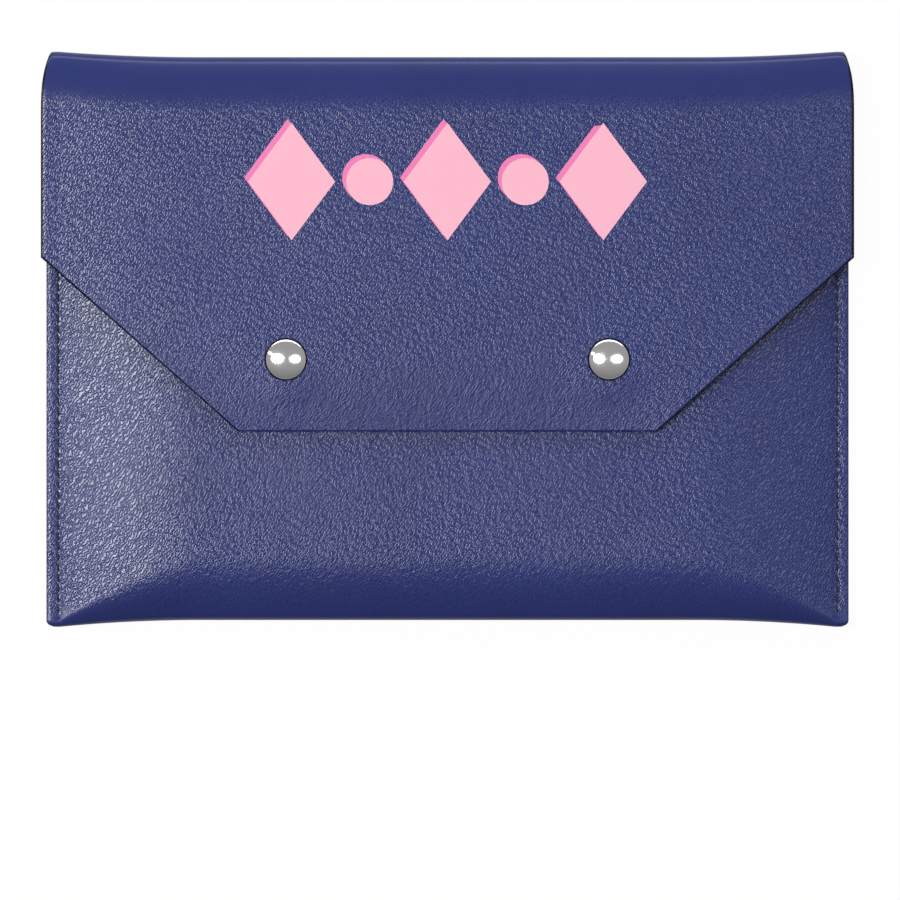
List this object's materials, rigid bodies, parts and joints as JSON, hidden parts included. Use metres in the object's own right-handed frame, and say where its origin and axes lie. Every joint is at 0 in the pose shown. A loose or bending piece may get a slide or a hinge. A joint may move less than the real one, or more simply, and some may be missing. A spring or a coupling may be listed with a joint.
{
  "type": "card holder pouch",
  "caption": "Flat envelope pouch for game cards: stuffed imitation leather body with stitched side seams, suede-like lining and a wide flap closed by press studs.",
  "frame": {"origin": "centre of the plan, on the surface that the back panel lies on", "axes": "+X along the width to the right, +Y up the pouch to the top fold, +Z out of the front, with the pouch lying on its back"},
  "size_m": [0.2426, 0.172, 0.0159],
  "materials": {
    "leather": "pebbled imitation leather, semi-matt",
    "lining": "brushed suede-like cloth",
    "thread": "twisted sewing thread",
    "chrome": "bright plated"
  },
  "bodies": {
    "pouch": {"pouch_shell": "leather", "pouch_lining": "lining", "left_seam_front_thread": "thread", "left_seam_back_thread": "thread", "right_seam_front_thread": "thread", "right_seam_back_thread": "thread", "left_snap_stud": "chrome", "left_snap_rivet": "chrome", "right_snap_stud": "chrome", "right_snap_rivet": "chrome"},
    "fold": {"fold_shell": "leather", "fold_lining": "lining"},
    "flap": {"flap_shell": "leather", "flap_lining": "lining", "left_snap_cap": "chrome", "left_snap_socket": "chrome", "left_snap_spring": "chrome", "right_snap_cap": "chrome", "right_snap_socket": "chrome", "right_snap_spring": "chrome"}
  },
  "joints": [
    {"name": "fold_back_hinge", "type": "hinge", "parent": "pouch", "child": "fold", "pos_m": [0, 0.0834, 0.0022], "axis": [-1, 0, 0], "range_deg": [0, 90]},
    {"name": "fold_front_hinge", "type": "hinge", "parent": "fold", "child": "flap", "pos_m": [0, 0.0834, 0.01285], "axis": [-1, 0, 0], "range_deg": [0, 90]}
  ],
  "couplings": [
    {"joint": "fold_front_hinge", "follows": "fold_back_hinge", "ratio": 1}
  ]
}
